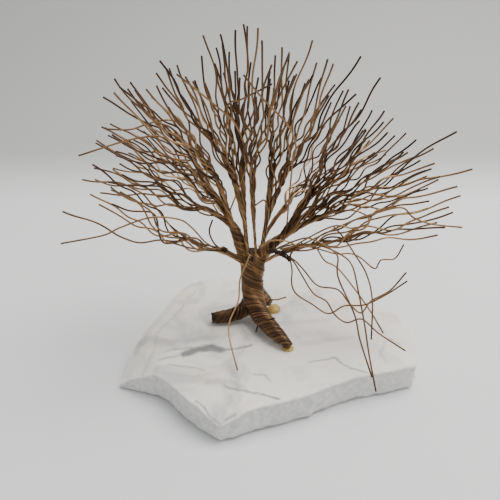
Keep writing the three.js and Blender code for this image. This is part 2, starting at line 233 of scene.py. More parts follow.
def slab_strip(angle):
    """The slab's points in one direction, out along its top, over its worn edge and down its
    side, each with its share of broken side."""
    reach = outline_reach(angle)
    ahead = (math.cos(angle), math.sin(angle))
    px, py = reach * ahead[0], reach * ahead[1]
    worn = 0.7 + 1.4 * abs(rough(px, py, 4, 15)) + 0.9 * max(rough(px, py, 1, 5), 0)
    hewn = 0.7 + 0.9 * rough(px, py, 0, 22)
    flat = reach - hewn - worn
    rim_height = slab_top(flat * ahead[0], flat * ahead[1])
    strip = []
    for ring in range(1, TOP_RINGS + 1):
        r = flat * (ring / TOP_RINGS) ** 0.85
        strip.append((r, slab_top(r * ahead[0], r * ahead[1]), 0.0))
    for ring in range(1, EDGE_RINGS + 1):
        turn = math.radians(90 * ring / EDGE_RINGS)
        z = rim_height - worn * (1 - math.cos(turn))
        strip.append((flat + worn * math.sin(turn), z, 0.35 + 0.4 * ring / EDGE_RINGS))
    for ring in range(1, SIDE_RINGS + 1):
        down = ring / SIDE_RINGS
        z = (rim_height - worn) * (1 - down)
        crystal = noise.voronoi(Vector((px, py, 1.3 * z)) / CRYSTAL_SIZE)[0][0]
        facet = 1.3 * (crystal - 0.45) + 0.5 * rough(px, py, z, 5) + 0.3 * rough(px, py, z, 1.6, 2)
        facet *= smooth_step(0, 0.12, down)
        strip.append((reach - hewn - 0.5 - UNDERCUT * smooth_step(0.8, 1.0, down) + facet, z, 1.0))
    return [((r * ahead[0], r * ahead[1], z), side) for r, z, side in strip]


slab_points = [((0, 0, slab_top(0, 0)), 0.0)]
for k in range(AROUND):
    slab_points += slab_strip(2 * math.pi * k / AROUND)
slab_points.append(((0, 0, 0), 1.0))
slab_vertices = [point for point, side in slab_points]
on_side = [side for point, side in slab_points]

rings = TOP_RINGS + EDGE_RINGS + SIDE_RINGS
slab_faces = []
for k in range(AROUND):
    here = 1 + k * rings
    after = 1 + (k + 1) % AROUND * rings
    slab_faces.append((0, here, after))
    slab_faces += [(here + i, here + i + 1, after + i + 1, after + i) for i in range(rings - 1)]
    slab_faces.append((here + rings - 1, len(slab_vertices) - 1, after + rings - 1))

# Veins and cracks: the line they follow, half their width, and how dark they are.
VEINS = [
    ([(-54, -48), (-44, -44), (-37, -42)], 0.9, 0.45),
    ([(-39, -42), (-31, -38.5), (-24, -37), (-19, -39)], 3.2, 0.92),
    ([(-30, -40.5), (-18, -40), (-8, -37.5), (-1, -34.5)], 1.0, 0.8),
    ([(-51, -41), (-42, -38), (-37, -37)], 0.9, 0.35),
    ([(-49, -52), (-38, -54), (-27, -57)], 0.7, 0.5),
    ([(-15, -70), (-3, -75), (4, -76)], 0.8, 0.7),
    ([(6, -77), (15, -80)], 0.8, 0.85),
    ([(-30, -82), (-22, -90), (-16, -94)], 0.8, 0.65),
    ([(-14, -92), (-9, -90)], 0.8, 0.7),
    ([(34, -50), (43, -48), (49, -46), (52, -51), (56, -55), (66, -60)], 0.7, 0.6),
    ([(2, -60), (7, -61), (10, -66)], 0.9, 0.5),
    ([(-24, -66), (-12, -67), (-6, -72)], 2.2, 0.22),
    ([(-40, -30), (-12, -24)], 2.4, 0.16),
    ([(-47, 12), (-38, 13)], 3.2, 0.22),
    ([(20, -12), (48, -9)], 2.6, 0.15),
    ([(30, -33), (62, -26)], 2.2, 0.14),
    ([(84, -28), (89, -33)], 1.5, 0.35),
    ([(-62, -58), (-57, -22), (-47, 4), (-38, 28)], 0.7, 0.25),
    ([(78, -52), (76, -40), (83, -30)], 0.6, 0.3),
]
# Brownish stains: the middle of each, and how far it reaches.
STAINS = [((-25, -62), 15), ((-60, -30), 14), ((-47, 22), 14), ((84, -8), 16), ((60, 8), 18), ((-6, -78), 12)]


def vein_strength(x, y):
    """How dark the veins and cracks are at a point of the top, from 0 to 1."""
    strength = 0.0
    x, y = x + 1.6 * rough(x, y, 11, 9), y + 1.3 * rough(x, y, 19, 7)
    for line, half_width, dark in VEINS:
        for start, end in zip(line, line[1:]):
            away = from_segment(x, y, start, end)
            strength = max(strength, dark * (1 - smooth_step(0.4 * half_width, 1.5 * half_width, away)))
    return strength


def stain_strength(x, y):
    """How strong the stains are at a point, from 0 to 1."""
    return max(1 - smooth_step(0.2 * reach, reach, math.dist((x, y), middle)) for middle, reach in STAINS)


vein = [0.0 if side == 1.0 else vein_strength(x, y) for (x, y, z), side in slab_points]
stain = [stain_strength(x, y) for x, y, z in slab_vertices]


def add_noise(add, scale, **settings):
    """A noise texture on a piece's own coordinates."""
    position = add("ShaderNodeTexCoord", {})
    inputs = {key.capitalize(): value for key, value in settings.items()}
    return add("ShaderNodeTexNoise", {"Vector": position.outputs["Object"], "Scale": scale, **inputs})


def add_ramp(add, value, low, high, *between):
    """A colour ramp from stops, each its place on the ramp and its red, green and blue."""
    ramp = add("ShaderNodeValToRGB", {"Fac": value})
    stops = ramp.color_ramp.elements
    for stop, (place, colour) in zip(stops, (low, high)):
        stop.position = place
        stop.color = (*colour, 1)
    for place, colour in between:
        stops.new(place).color = (*colour, 1)
    return ramp.outputs["Color"]


def add_mix(add, share, first, second):
    """The first colour, with a share of the second laid over it."""
    mix = add("ShaderNodeMix", {"Factor": share, "A": first, "B": second}, data_type="RGBA")
    return mix.outputs["Result"]


marble, marble_inputs, add = new_material("white_marble")
cloud = add_noise(add, 26, detail=7, roughness=0.6, distortion=1.2)
clouded = add_ramp(add, cloud.outputs["Fac"], (0.34, (0.53, 0.52, 0.50)), (0.52, (0.82, 0.775, 0.71)))

blotches = add_noise(add, 75, detail=5)
blotch = add("ShaderNodeMapRange", {"Value": blotches.outputs["Fac"], "From Min": 0.45, "From Max": 0.75,
                                    "To Max": 0.55})
stain_share = add("ShaderNodeAttribute", {}, attribute_name="stain")
stained = add("ShaderNodeMath", {0: stain_share.outputs["Fac"], 1: blotch.outputs["Result"]},
              operation="MULTIPLY")
with_stains = add_mix(add, stained.outputs["Value"], clouded, (0.60, 0.49, 0.36, 1))

vein_share = add("ShaderNodeAttribute", {}, attribute_name="vein")
with_veins = add_mix(add, vein_share.outputs["Fac"], with_stains, (0.15, 0.155, 0.16, 1))

# the broken sides
crystals = add_noise(add, 320, detail=6, roughness=0.7).outputs["Fac"]
greys = add_ramp(add, crystals, (0.30, (0.60, 0.59, 0.575)), (0.62, (0.82, 0.81, 0.79)))
side_share = add("ShaderNodeAttribute", {}, attribute_name="on_side").outputs["Fac"]
grain = add("ShaderNodeBump", {"Distance": 0.0004, "Strength": side_share, "Height": crystals})
feed(marble_inputs["Base Color"], add_mix(add, side_share, with_veins, greys))
feed(marble_inputs["Roughness"], 0.6)
feed(marble_inputs["Normal"], grain.outputs["Normal"])

slab = new_piece("marble_slab_hewn", slab_vertices, slab_faces, marble)
for key, values in (("on_side", on_side), ("vein", vein), ("stain", stain)):
    slab.data.attributes.new(key, "FLOAT", "POINT").data.foreach_set("value", values)
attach(slab, "root")
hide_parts("marble_slab")


# --- The trunk and its roots --------------------------------------------------------------
# About 180 wires are twisted into one bundle, left-handed, and part into nine boughs above and
# three roots below. The wires are soft copper-alloy craft wire, 1 mm thick, with a brown bronze
# finish that has rubbed to gold in places and is darkest at the cut ends.

WIRE_RADIUS = 0.5
PACKING = 0.75               # share of a bundle's section that is metal
CROTCH = Vector((0, 0, 59))  # where the trunk parts into its boughs


def make_dice(seed):
    """The same row of numbers between 0 and 1 for the same seed, and a spread to both sides."""
    state = seed * 7919 + 1

    def roll():
        nonlocal state
        state = state * 16807 % 2147483647
        return state / 2147483647

    for _ in range(3):
        roll()
    return roll, lambda most: (2 * roll() - 1) * most


def aim(fan, lean):
    """A direction in the crown, from its angle in the fan and its lean away from the viewer."""
    f, l = math.radians(fan), math.radians(lean)
    return Vector((math.cos(f) * math.cos(l), math.sin(l), math.sin(f) * math.cos(l)))


def along(points, share):
    """The point at a share of the smooth curve through the points."""
    place = share * (len(points) - 1)
    i = min(int(place), len(points) - 2)
    t = place - i
    p1, p2 = points[i], points[i + 1]
    p0 = points[i - 1] if i > 0 else 2 * p1 - p2
    p3 = points[i + 2] if i + 2 < len(points) else 2 * p2 - p1
    v1, v2 = (p2 - p0) / 2, (p3 - p1) / 2
    return ((2 * p1 - 2 * p2 + v1 + v2) * t + (-3 * p1 + 3 * p2 - 2 * v1 - v2)) * t * t + v1 * t + p1


def curve_through(points, step):
    """Points about `step` millimetres apart on the smooth curve through some points."""
    points = [Vector(p) for p in points]
    length = sum((b - a).length for a, b in zip(points, points[1:]))
    count = max(round(length / step), 4)
    return [along(points, i / count) for i in range(count + 1)]


def smoothed(points, passes):
    """The same line with its small corners worn off, and its ends kept."""
    line = np.array([tuple(p) for p in points])
    for _ in range(passes):
        line[1:-1] = 0.25 * line[:-2] + 0.5 * line[1:-1] + 0.25 * line[2:]
    return [Vector(p) for p in line]


def wind(axis, turn_length, places):
    """Lines that wind left-handed round an axis, one turn in every `turn_length`, which may be a
    function of the length so far. Each place gives a radius and a share of the way round, from
    the length so far and the whole length."""
    side = Vector((1, 0, 0))
    frames = []
    length = 0.0
    turns = 0.0
    for i, centre in enumerate(axis):
        ahead = (axis[min(i + 1, len(axis) - 1)] - axis[max(i - 1, 0)]).normalized()
        side = (side - ahead * side.dot(ahead)).normalized()
        if i:
            piece_length = (centre - axis[i - 1]).length
            length += piece_length
            turns += piece_length / (turn_length(length) if callable(turn_length) else turn_length)
        frames.append((centre, side.copy(), ahead.cross(side), length, turns))
    lines = []
    for place in places:
        line = []
        for centre, across, up, so_far, turned in frames:
            radius, share = place(so_far, length)
            turn = 2 * math.pi * (share - turned)
            line.append(centre + across * (radius * math.cos(turn)) + up * (radius * math.sin(turn)))
        lines.append(line)
    return lines


def rope_radius(wires):
    """The radius of a round bundle of so many wires."""
    return WIRE_RADIUS * math.sqrt(wires / PACKING)


# Bronze: `shade` is each wire's own tone and `from_tip` the distance to its cut end, in metres.
DARK_END = 0.018             # how far from its cut end a wire is darkened

bronze, bronze_inputs, add = new_material("bronze_wire")
patches = add_noise(add, 90, detail=4).outputs["Fac"]
shade = add("ShaderNodeAttribute", {}, attribute_name="shade")
tone = add("ShaderNodeMath", {0: patches, 1: 0.55, 2: shade.outputs["Fac"]}, operation="MULTIPLY_ADD")
browns = add_ramp(add, tone.outputs["Value"], (0.25, (0.035, 0.018, 0.011)), (1.0, (0.46, 0.275, 0.125)),
                  (0.62, (0.19, 0.102, 0.045)))
from_tip = add("ShaderNodeAttribute", {}, attribute_name="from_tip")
at_tip = add("ShaderNodeMapRange", {"Value": from_tip.outputs["Fac"], "From Min": 0.0, "From Max": DARK_END,
                                    "To Min": 0.6, "To Max": 0.0}, interpolation_type="SMOOTHSTEP")
sheen = add("ShaderNodeMapRange", {"Value": patches, "To Min": 0.22, "To Max": 0.46})
feed(bronze_inputs["Base Color"], add_mix(add, at_tip.outputs["Result"], browns, (0.028, 0.018, 0.014, 1)))
feed(bronze_inputs["Metallic"], 0.75)
feed(bronze_inputs["Roughness"], sheen.outputs["Result"])


def make_wire_tree():
    """Sweeps a round section along every line of a mesh of edges, `girth` times the wire's radius."""
    tree = bpy.data.node_groups.new("drawn_wire", "GeometryNodeTree")
    socket = tree.interface.new_socket
    socket("Lines", in_out="INPUT", socket_type="NodeSocketGeometry")
    socket("Wire Radius", in_out="INPUT", socket_type="NodeSocketFloat")
    socket("Sides", in_out="INPUT", socket_type="NodeSocketInt")
    socket("Finish", in_out="INPUT", socket_type="NodeSocketMaterial")
    socket("Wires", in_out="OUTPUT", socket_type="NodeSocketGeometry")
    new, join = tree.nodes.new, tree.links.new
    start, end = new("NodeGroupInput"), new("NodeGroupOutput")
    lines = new("GeometryNodeMeshToCurve")
    section = new("GeometryNodeCurvePrimitiveCircle")
    girth = new("GeometryNodeInputNamedAttribute")
    girth.inputs["Name"].default_value = "girth"
    sweep_section = new("GeometryNodeCurveToMesh")
    sweep_section.inputs["Fill Caps"].default_value = True
    realize = new("GeometryNodeRealizeInstances")
    smooth = new("GeometryNodeSetShadeSmooth")
    finish = new("GeometryNodeSetMaterial")
    join(start.outputs["Lines"], lines.inputs["Mesh"])
    join(start.outputs["Wire Radius"], section.inputs["Radius"])
    join(start.outputs["Sides"], section.inputs["Resolution"])
    join(lines.outputs["Curve"], sweep_section.inputs["Curve"])
    join(section.outputs["Curve"], sweep_section.inputs["Profile Curve"])
    join(girth.outputs["Attribute"], sweep_section.inputs["Scale"])
    join(sweep_section.outputs["Mesh"], smooth.inputs["Geometry"])
    join(smooth.outputs["Geometry"], realize.inputs["Geometry"])
    join(realize.outputs["Geometry"], finish.inputs["Geometry"])
    join(start.outputs["Finish"], finish.inputs["Material"])
    join(finish.outputs["Geometry"], end.inputs["Wires"])
    return tree


wire_tree = make_wire_tree()

NO_END = 1.0                 # a distance from any cut end that is past all darkening
WIRE_STEP = 1.4              # between the points of a wire in its bough and rope


def draw_wires(name, wires, finish, sides=10):
    """One piece of many wires. Each wire is its points in millimetres, its tone, its girth, and
    the length of wire, in millimetres, from its last point to its cut end (None for no end)."""
    vertices, edges, girths, shades, tips = [], [], [], [], []
    for points, own_tone, girth, beyond in wires:
        first = len(vertices)
        lengths = [0.0]
        for a, b in zip(points, points[1:]):
            lengths.append(lengths[-1] + (b - a).length)
        for i, p in enumerate(points):
            vertices.append(tuple(0.001 * c for c in p))
            girths.append(girth(i / (len(points) - 1)) if callable(girth) else girth)
            shades.append(own_tone)
            tips.append(NO_END if beyond is None else 0.001 * (beyond + lengths[-1] - lengths[i]))
        edges += [(first + i, first + i + 1) for i in range(len(points) - 1)]
    mesh = bpy.data.meshes.new(name)
    mesh.from_pydata(vertices, edges, [])
    for key, values in (("girth", girths), ("shade", shades), ("from_tip", tips)):
        mesh.attributes.new(key, "FLOAT", "POINT").data.foreach_set("value", values)
    piece = bpy.data.objects.new(name, mesh)
    bpy.context.scene.collection.objects.link(piece)
    modifier = piece.modifiers.new("drawn_wire", "NODES")
    modifier.node_group = wire_tree
    sizes = {"Wire Radius": 0.001 * WIRE_RADIUS, "Sides": sides, "Finish": finish}
    for item in wire_tree.interface.items_tree:
        if item.name in sizes:
            modifier[item.identifier] = sizes[item.name]
    evaluated = piece.evaluated_get(bpy.context.evaluated_depsgraph_get())
    swept = bpy.data.meshes.new_from_object(evaluated)
    piece.modifiers.remove(modifier)
    piece.data = swept
    bpy.data.meshes.remove(mesh)
    swept.name = name
    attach(piece, "root")
    return piece


# Each bough's place in the trunk, and its direction and length up to where it parts into ropes.
BOUGHS = {
    "low_left": {"limb": "low_left", "base": (-4.6, -3.6), "fan": 153, "lean": -18, "length": 14},
    "left": {"limb": "left", "base": (-4.2, 1.0), "fan": 114, "lean": 4, "length": 19},
    "centre_left": {"limb": "centre_left", "base": (-1.8, -1.8), "fan": 97, "lean": -4, "length": 25},
    "centre": {"limb": "centre", "base": (3.0, -2.6), "fan": 91, "lean": -6, "length": 25},
    "centre_right": {"limb": "centre_right", "base": (5.2, 1.4), "fan": 76, "lean": 2, "length": 22},
    "right": {"limb": "right", "base": (5.8, -0.8), "fan": 42, "lean": 0, "length": 15},
    "low_right": {"limb": "right", "base": (5.2, -4.2), "fan": 24, "lean": -20, "length": 12},
    "back_left": {"limb": "back_left", "base": (-2.5, 4.6), "fan": 125, "lean": 42, "length": 18},
    "back_right": {"limb": "back_right", "base": (3.0, 4.6), "fan": 52, "lean": 42, "length": 18},
}

# Each rope has a direction and a length from the end of its bough. Then come its loose wires: how
# many, the part of the fan and the lean that their tips fill, how far from the crotch the tips are,
# and how far the wires swing from side to side on their way.
ROPES = {
    "low_left": {"bough": "low_left", "fan": 164, "lean": -12, "length": 14,
                 "wires": 8, "fans": (157, 139), "leans": (-16, -6), "reach": 114, "kink": 4.2, "seed": 391},
    "left_out": {"bough": "left", "fan": 148, "lean": -4, "length": 30,
                 "wires": 13, "fans": (156, 137), "leans": (-4, 14), "reach": 114, "kink": 3.4, "seed": 106},
    "left_up": {"bough": "left", "fan": 121, "lean": 6, "length": 38,
                "wires": 14, "fans": (142, 122), "leans": (-4, 16), "reach": 123, "kink": 3.0, "seed": 244},
    "upper_left": {"bough": "left", "fan": 105, "lean": -6, "length": 42,
                   "wires": 13, "fans": (126, 111), "leans": (-14, 4), "reach": 134, "kink": 2.4,
                   "seed": 255},
    "fan_left": {"bough": "centre_left", "fan": 104, "lean": 2, "length": 38,
                 "wires": 16, "fans": (114, 97), "leans": (-8, 10), "reach": 130, "kink": 2.0, "seed": 173},
    "top_left": {"bough": "centre_left", "fan": 91, "lean": 0, "length": 46,
                 "wires": 12, "fans": (99, 89), "leans": (-6, 8), "reach": 134, "kink": 1.5, "seed": 289},
    "top": {"bough": "centre", "fan": 92, "lean": -8, "length": 40,
            "wires": 11, "fans": (92, 80), "leans": (-16, -3), "reach": 131, "kink": 1.8, "seed": 95},
    "top_right": {"bough": "centre_right", "fan": 86, "lean": 6, "length": 38,
                  "wires": 12, "fans": (86, 74), "leans": (-2, 12), "reach": 130, "kink": 2.0, "seed": 106},
    "high_right": {"bough": "centre_right", "fan": 70, "lean": -4, "length": 36,
                   "wires": 12, "fans": (76, 63), "leans": (-8, 8), "reach": 132, "kink": 2.2, "seed": 106},
    "upper_right": {"bough": "right", "fan": 58, "lean": 4, "length": 38,
                    "wires": 13, "fans": (65, 49), "leans": (-10, 8), "reach": 127, "kink": 2.4, "seed": 58},
    "right_up": {"bough": "right", "fan": 46, "lean": -2, "length": 34,
                 "wires": 12, "fans": (49, 34), "leans": (-2, 16), "reach": 120, "kink": 3.0, "seed": 157},
    "right_out": {"bough": "right", "fan": 34, "lean": -8, "length": 40,
                  "wires": 13, "fans": (39, 25), "leans": (-12, 2), "reach": 136, "kink": 3.0, "seed": 333},
    "right_low": {"bough": "low_right", "fan": 24, "lean": -16, "length": 30,
                  "wires": 9, "fans": (31, 15), "leans": (-18, -8), "reach": 124, "kink": 3.4, "seed": 340},
    "back_left": {"bough": "back_left", "fan": 140, "lean": 34, "length": 24,
                  "wires": 8, "fans": (160, 126), "leans": (24, 42), "reach": 112, "kink": 3.4, "seed": 277},
    "back_right": {"bough": "back_right", "fan": 40, "lean": 34, "length": 26,
                   "wires": 10, "fans": (58, 22), "leans": (24, 42), "reach": 114, "kink": 3.4, "seed": 347},
}

BUNDLE_TURN = 27             # length of one turn of the twist in a rope
BOUGH_TURN = 15              # and in a bough
COLLAR = 3                   # a rope bends away this far past the end of its bough
LEAVING = 0.5                # the share of a rope at which its wires have parted
ROPE_END_SPREAD = 1.15       # how much wider the rope is there
GATHER_FROM = 4              # before the end of its bough a wire starts to move over to its rope
GATHER_TO = 9                # and past the end of the bough it is in its rope
SMOOTHING = 4                # passes that wear off the corners where the parts of a wire meet
LOOSE_STEPS = 80             # straight pieces in the loose part of a wire
GOLDEN_SHARE = 0.618         # steps of it spread evenly over a range


def bough_end(bough):
    """Where a bough parts into its ropes."""
    x, y = bough["base"]
    return CROTCH + Vector((0.6 * x, 0.6 * y, 0)) + aim(bough["fan"], bough["lean"]) * bough["length"]


def bough_points(bough):
    """A bough's middle line, from inside the trunk."""
    x, y = bough["base"]
    return [Vector((0.8 * x, 0.8 * y, CROTCH.z - 12)), Vector((x, y, CROTCH.z - 3)), bough_end(bough)]


def bough_ahead(bough):
    """The direction in which a bough ends."""
    points = bough_points(bough)
    return (points[2] - along(points, 0.995)).normalized()


def rope_points(rope):
    """A rope's middle line, from the end of its bough."""
    bough = BOUGHS[rope["bough"]]
    ahead = bough_ahead(bough)
    root = bough_end(bough) + ahead * COLLAR
    end = root + aim(rope["fan"], rope["lean"]) * rope["length"]
    middle = (root + ahead * (0.2 * rope["length"])).lerp(end, 0.45)
    return [root, middle, end]


def rope_tips(rope, roll, spread):
    """Where the cut ends of a rope's wires are."""
    count = rope["wires"]
    first_fan, last_fan = rope["fans"]
    first_lean, last_lean = rope["leans"]
    tips = []
    for i in range(count):
        fan = first_fan + (last_fan - first_fan) * ((i + 0.5 + spread(0.8)) / count)
        lean = first_lean + (last_lean - first_lean) * ((i * GOLDEN_SHARE + 0.3) % 1)
        reach = rope["reach"] * (1.03 - 0.22 * roll() ** 1.4)
        tips.append(CROTCH + aim(fan, lean) * reach)
    return tips


def rope_sides(tips, centre, ahead):
    """Which way each wire lies from the middle of its rope, as far as 1, by where its tip is."""
    offsets = [(tip - centre).normalized() for tip in tips]
    offsets = [offset - ahead * offset.dot(ahead) for offset in offsets]
    middle = sum(offsets, Vector()) / len(tips)
    offsets = [offset - middle for offset in offsets]
    widest = max(offset.length for offset in offsets)
    return [offset / widest for offset in offsets]


def loose_wires(rope):
    """For each wire of a rope, the points of its loose part, from the rope to the tip. It swings
    slowly from side to side, ripples finely at first, and flicks aside near its tip."""
    roll, spread = make_dice(rope["seed"])
    ripple_roll, ripple_spread = make_dice(rope["seed"] + 500)
    points = rope_points(rope)
    centre = along(points, LEAVING)
    ahead = (along(points, LEAVING + 0.01) - centre).normalized()
    tips = rope_tips(rope, roll, spread)
    kink = rope["kink"]
    ripple_length = 12 + 2.4 * kink
    wave = ripple_roll()
    paths = []
    for tip, side in zip(tips, rope_sides(tips, centre, ahead)):
        start = centre + side * (ROPE_END_SPREAD * rope_radius(len(tips)))
        chord = tip - start
        set_out = (ahead * chord.length - chord) * (0.4 + 0.9 * roll())
        aside = chord.cross(Vector((0, -1, 0))).normalized()
        swing = kink * (0.4 + 0.8 * roll())
        phase, deep_phase = roll(), roll()
        waves = 1.1 + 0.7 * roll()
        flick = aside * (chord.length * spread(0.24))
        ripple = (0.5 + 0.26 * kink) * (0.5 + ripple_roll())
        ripples = chord.length / ripple_length * (0.85 + 0.3 * ripple_roll())
        ripple_phase = wave + ripple_spread(0.3)
        calm_from = 0.36 + 0.26 * ripple_roll()

        def at(share):
            slow = swing * smooth_step(0, 0.2, share) * (1 - smooth_step(0.6, 1.0, share))
            fine = ripple * smooth_step(0, 0.08, share)
            fine *= 1 - smooth_step(calm_from, calm_from + 0.32, share)
            across = slow * math.sin(2 * math.pi * (waves * share + phase))
            across += fine * math.sin(2 * math.pi * (ripples * share + ripple_phase))
            deep = 0.8 * slow * math.sin(2 * math.pi * (waves * share + deep_phase))
            deep += 0.8 * fine * math.cos(2 * math.pi * (ripples * share + ripple_phase))
            return (start + chord * share + set_out * (share * (1 - share) ** 2) + aside * across
                    + flick * (share ** 3 * (share - 1)) + Vector((0, deep, 0)))

        paths.append([at(i / LOOSE_STEPS) for i in range(LOOSE_STEPS + 1)])
    return paths


def bough_wires(name):
    """Every wire of a bough in one line from inside the trunk to its tip, with the index of the
    point where it leaves the bough, and its tone."""
    ropes = [rope for rope in ROPES.values() if rope["bough"] == name]
    total = sum(rope["wires"] for rope in ropes)
    in_bough = curve_through(bough_points(BOUGHS[name]), WIRE_STEP)
    bough_length = sum((b - a).length for a, b in zip(in_bough, in_bough[1:]))
    bough_reach = rope_radius(total) - WIRE_RADIUS
    golden_turn = (3 - math.sqrt(5)) / 2
    roll, _ = make_dice(len(name) * 31 + total)
    wires = []
    for rope in ropes:
        count = rope["wires"]
        points = rope_points(rope)
        rope_reach = rope_radius(count) - WIRE_RADIUS
        for i, loose in enumerate(loose_wires(rope)):
            slot = len(wires)
            outer_radius = bough_reach * math.sqrt((slot + 0.5) / total)
            rope_place = rope_reach * math.sqrt((i + 0.5) / count)
            leave = 0.3 + 0.6 * roll()
            steps = max(round(rope["length"] * leave / WIRE_STEP), 3)
            axis = in_bough + [along(points, leave * (k + 1) / steps) for k in range(steps)]

            def place(so_far, whole):
                parted = smooth_step(bough_length - GATHER_FROM, bough_length + GATHER_TO, so_far)
                return outer_radius * (1 - parted) + rope_place * parted, slot * golden_turn

            line = wind(axis, lambda so_far: BUNDLE_TURN if so_far > bough_length else BOUGH_TURN, [place])[0]
            ahead_by = max((leave - LEAVING) * rope["length"], 0) / (loose[-1] - loose[0]).length
            first = 1 + round(LOOSE_STEPS * (ahead_by + 0.02))
            aside = line[-1] - loose[first - 1]
            outer = [p + aside * (1 - smooth_step(0, 0.3, k / LOOSE_STEPS))
                     for k, p in enumerate(loose[first:])]
            wires.append((smoothed(line + outer, SMOOTHING), len(in_bough) - 1, roll()))
    return wires


crown = {name: bough_wires(name) for name in BOUGHS}

# The column leans to the front and runs on into the front root. Each bundle is its route, its
# radius at even steps along the route, its number of strands and the range of their tones. Every
# third strand ends early, no sooner than `stops_from`. `ends_cut` darkens the rest at their ends.
BUNDLES = {
    "left_root": {"route": [(0.5, -4, 31), (-5, -8.5, 26), (-11, -11, 24), (-17, -12, 23), (-25, -12.4, 22.2)],
                  "radii": [5.6, 4.9, 4.4, 4.1, 3.5], "strands": 14, "tones": (-0.1, 0.3),
                  "stops_from": 0.9, "ends_cut": True},
    "back_root": {"route": [(1, -1, 36), (5.5, 0.6, 30), (10, 1.6, 26), (12.4, 2.2, 24.4)],
                  "radii": [6.0, 5.8, 4.9, 2.4], "strands": 16, "tones": (0.15, 0.5),
                  "stops_from": 0.9, "ends_cut": False},
    "column": {"route": [(-0.6, 0, 64), (-0.2, -0.2, 60), (0.3, -0.5, 47), (0.7, -2.5, 38),
                         (1.4, -7, 31.5), (3.6, -13, 28.8), (7, -20, 27), (11.5, -27, 25.4), (16, -33, 24),
                         (20, -37.6, 22.8), (22.4, -39.8, 21.2)],
               "radii": [4.2, 6.8, 7.1, 7.1, 7.1, 6.7, 6.2, 5.6, 5.0, 4.1, 2.4], "strands": 21,
               "tones": (0.05, 0.45), "stops_from": 0.62, "ends_cut": True},
    "left_bough": {"route": [(-2.6, 0.2, 53), (-4.2, 0.8, 60), (-6.9, 1.2, 68), (-10.2, 2.2, 77.5),
                             (-15, 3, 86)],
                   "radii": [4.4, 4.5, 3.9, 3.1, 1.2], "strands": 14, "tones": (0.1, 0.5),
                   "stops_from": 0.9, "ends_cut": False},
    "right_bough": {"route": [(3.6, -0.6, 55), (6.4, -0.6, 62), (12, -0.2, 68), (17.5, -0.4, 72.5),
                              (24, -1, 78)],
                    "radii": [4.0, 4.1, 3.5, 2.7, 1.2], "strands": 13, "tones": (0.0, 0.45),
                    "stops_from": 0.9, "ends_cut": False},
    "folded_cap": {"route": [(3.4, -2.4, 48), (4.0, -3.6, 55), (3.4, -3.9, 60), (2.2, -3.2, 63.4)],
                   "radii": [4.0, 4.6, 4.2, 1.6], "strands": 14, "tones": (0.2, 0.55),
                   "stops_from": 0.9, "ends_cut": False},
}

# Single wires whose cut ends stand out from the roots.
CUT_ENDS = [[(11, 1, 27.5), (16, 2, 26.2), (22.5, 4, 27)], [(4, -24, 30), (8.5, -28, 31.4), (14, -27.7, 33)],
            [(4, -20, 23), (3.4, -23, 22.2), (2.7, -25.6, 21)]]


CORE_DEPTH = 1.05            # how far the core lies under the outside of the strands
CORE_LEAST = 0.4             # the radius that it keeps where a bundle tapers away


def wound_bundle(bundle, seed):
    """A core, dark as painted shade between the strands, with one layer of strands wound round it."""
    roll, spread = make_dice(seed)
    axis = curve_through(bundle["route"], 0.7)
    whole = sum((b - a).length for a, b in zip(axis, axis[1:]))
    radii = bundle["radii"]
    low_tone, high_tone = bundle["tones"]

    def girth(share):
        place = min(max(share, 0), 1) * (len(radii) - 1)
        i = min(int(place), len(radii) - 2)
        return radii[i] + (radii[i + 1] - radii[i]) * (place - i)

    def core_girth(share):
        return max(girth(share) - CORE_DEPTH, CORE_LEAST) / WIRE_RADIUS

    # The core stands for the wires inside the bundle; its dark tone is painted shade, seen as dark lines in
    # the gaps between the strands.
    wires = [(axis, -0.2, core_girth, None)]
    for k in range(bundle["strands"]):
        lift = spread(0.22)
        lag = spread(0.01)
        sway = roll()
        stop = max(0.62 + 0.2 * roll(), bundle["stops_from"]) if k % 3 == 1 else 1.0

        def place(so_far, length):
            radius = girth(so_far / length) - WIRE_RADIUS + lift
            return radius, k / bundle["strands"] + lag + 0.008 * math.sin(9 * (so_far / length + sway))

        line = wind(axis, lambda so_far: 7.5 + 2.4 * girth(so_far / whole), [place])[0]
        line = line[:max(round(stop * len(line)), 3)]
        beyond = 0.0 if stop < 1 else (3.0 if bundle["ends_cut"] else None)
        wires.append((line, low_tone + (high_tone - low_tone) * roll(), 0.96, beyond))
    return wires


trunk_wires = []
for number, bundle in enumerate(BUNDLES.values()):
    trunk_wires += wound_bundle(bundle, 11 + number)
trunk_wires += [(curve_through(route, 0.8), 0.2, 1.0, 0.0) for route in CUT_ENDS]
for wires in crown.values():
    trunk_wires += [(points[:split + 1], 0.75 * own_tone, 1.06, None) for points, split, own_tone in wires]
trunk = draw_wires("twisted_trunk", trunk_wires, bronze)
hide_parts("trunk")


# --- The limbs ------------------------------------------------------------------------------
# Past its bough each limb parts into ropes, and each rope into loose wires that were bent by
# hand into waves and cut off blunt. Some wander off low, cross the others or curl back.

